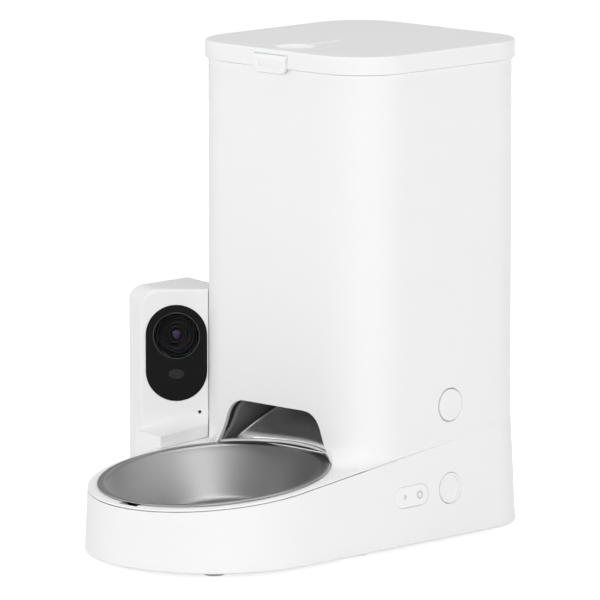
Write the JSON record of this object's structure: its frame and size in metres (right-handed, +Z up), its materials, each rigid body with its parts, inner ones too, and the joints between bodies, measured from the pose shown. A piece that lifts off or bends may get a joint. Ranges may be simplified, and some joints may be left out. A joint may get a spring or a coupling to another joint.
{
  "type": "automatic pet feeder",
  "caption": "Automatic pet feeder: food tower with hinged lid, wide base with a lift-out steel bowl under an arch, and a camera module at its side.",
  "frame": {"origin": "middle of the whole part's box, on the floor under the feet", "axes": "+Z up, -Y to the bowl's side, where the pet stands, +X to the side with the buttons"},
  "size_m": [0.2043, 0.3023, 0.317],
  "materials": {
    "white_shell": "fine satin moulding",
    "white_gloss": "gloss",
    "bowl_steel": "spun satin",
    "bright_steel": "bright",
    "dark_plastic": "satin",
    "black_gloss": "high gloss",
    "black_matte": "matte",
    "smoke": "smoked gloss",
    "lens_glass": "coated glass, polished",
    "grey_rubber": "soft matte",
    "clear_tank": "frosted translucent",
    "gear_plastic": "natural acetal",
    "board": "solder mask",
    "cell": "printed sleeve, bare of lettering",
    "light_grey": "satin"
  },
  "bodies": {
    "base": {"base_shell": "white_shell", "upper_shell": "white_shell", "bottom_cover": "white_shell", "battery_door": "white_shell", "rotor_chamber": "white_shell", "gear_case": "white_shell", "camera_housing": "white_shell", "camera_front": "white_shell", "indicator_panel": "white_gloss", "lid_hinge_pin": "bright_steel", "motor": "bright_steel", "lens_ring": "bright_steel", "microphone": "bright_steel", "base_screw_1": "bright_steel", "base_screw_2": "bright_steel", "base_screw_3": "bright_steel", "base_screw_4": "bright_steel", "tray_screw_1": "bright_steel", "tray_screw_2": "bright_steel", "tray_screw_3": "bright_steel", "tray_screw_4": "bright_steel", "camera_screw_1": "bright_steel", "camera_screw_2": "bright_steel", "chute": "dark_plastic", "battery_holder": "dark_plastic", "camera_window": "black_gloss", "power_inlet": "black_matte", "lens_barrel": "black_matte", "speaker": "black_matte", "infrared_window": "smoke", "lens_dome": "lens_glass", "foot_1": "grey_rubber", "foot_2": "grey_rubber", "foot_3": "grey_rubber", "foot_4": "grey_rubber", "foot_5": "grey_rubber", "foot_6": "grey_rubber", "food_tank": "clear_tank", "main_board": "board", "camera_board": "board", "battery_1": "cell", "battery_2": "cell", "battery_3": "cell", "status_lens": "light_grey", "ring_lens": "light_grey"},
    "lid": {"lid_shell": "white_shell", "lid_liner": "white_shell", "lid_seal": "grey_rubber", "desiccant_box": "light_grey", "latch_pin": "bright_steel"},
    "latch": {"lid_latch": "white_shell"},
    "bowl": {"bowl": "bowl_steel"},
    "release_button": {"release_button": "white_shell", "release_spring": "bright_steel"},
    "feed_button": {"feed_button": "white_shell", "feed_spring": "bright_steel"},
    "rotor": {"rotor": "light_grey", "rotor_gear": "gear_plastic"},
    "middle_gear": {"middle_gear": "gear_plastic"},
    "motor_pinion": {"motor_pinion": "gear_plastic"}
  },
  "joints": [
    {"name": "lid_hinge", "type": "hinge", "parent": "base", "child": "lid", "pos_m": [0.02032, 0.14788, 0.3012], "axis": [-1, 0, 0], "range_deg": [0, 95]},
    {"name": "latch_hinge", "type": "hinge", "parent": "lid", "child": "latch", "pos_m": [0.02032, -0.01678, 0.3104], "axis": [-1, 0, 0], "range_deg": [0, 60]},
    {"name": "bowl_lift", "type": "slide", "parent": "base", "child": "bowl", "axis": [0, -0.7431, 0.6691], "range_m": [0, 0.09]},
    {"name": "release_press", "type": "slide", "parent": "base", "child": "release_button", "axis": [-1, 0, 0], "range_m": [0, 0.002], "stiffness_N_per_m": 500},
    {"name": "feed_press", "type": "slide", "parent": "base", "child": "feed_button", "axis": [-1, 0, 0], "range_m": [0, 0.0015], "stiffness_N_per_m": 500},
    {"name": "rotor_spin", "type": "hinge", "parent": "base", "child": "rotor", "pos_m": [0.02032, 0.06997, 0.094], "axis": [0, 0, 1], "continuous": true},
    {"name": "middle_spin", "type": "hinge", "parent": "base", "child": "middle_gear", "pos_m": [0.02032, 0.09098, 0.089], "axis": [0, 0, 1], "continuous": true},
    {"name": "motor_spin", "type": "hinge", "parent": "base", "child": "motor_pinion", "pos_m": [0.02032, 0.11198, 0.086], "axis": [0, 0, 1], "continuous": true}
  ],
  "couplings": [
    {"joint": "middle_spin", "follows": "rotor_spin", "ratio": -2.5},
    {"joint": "motor_spin", "follows": "rotor_spin", "ratio": 6.25}
  ]
}
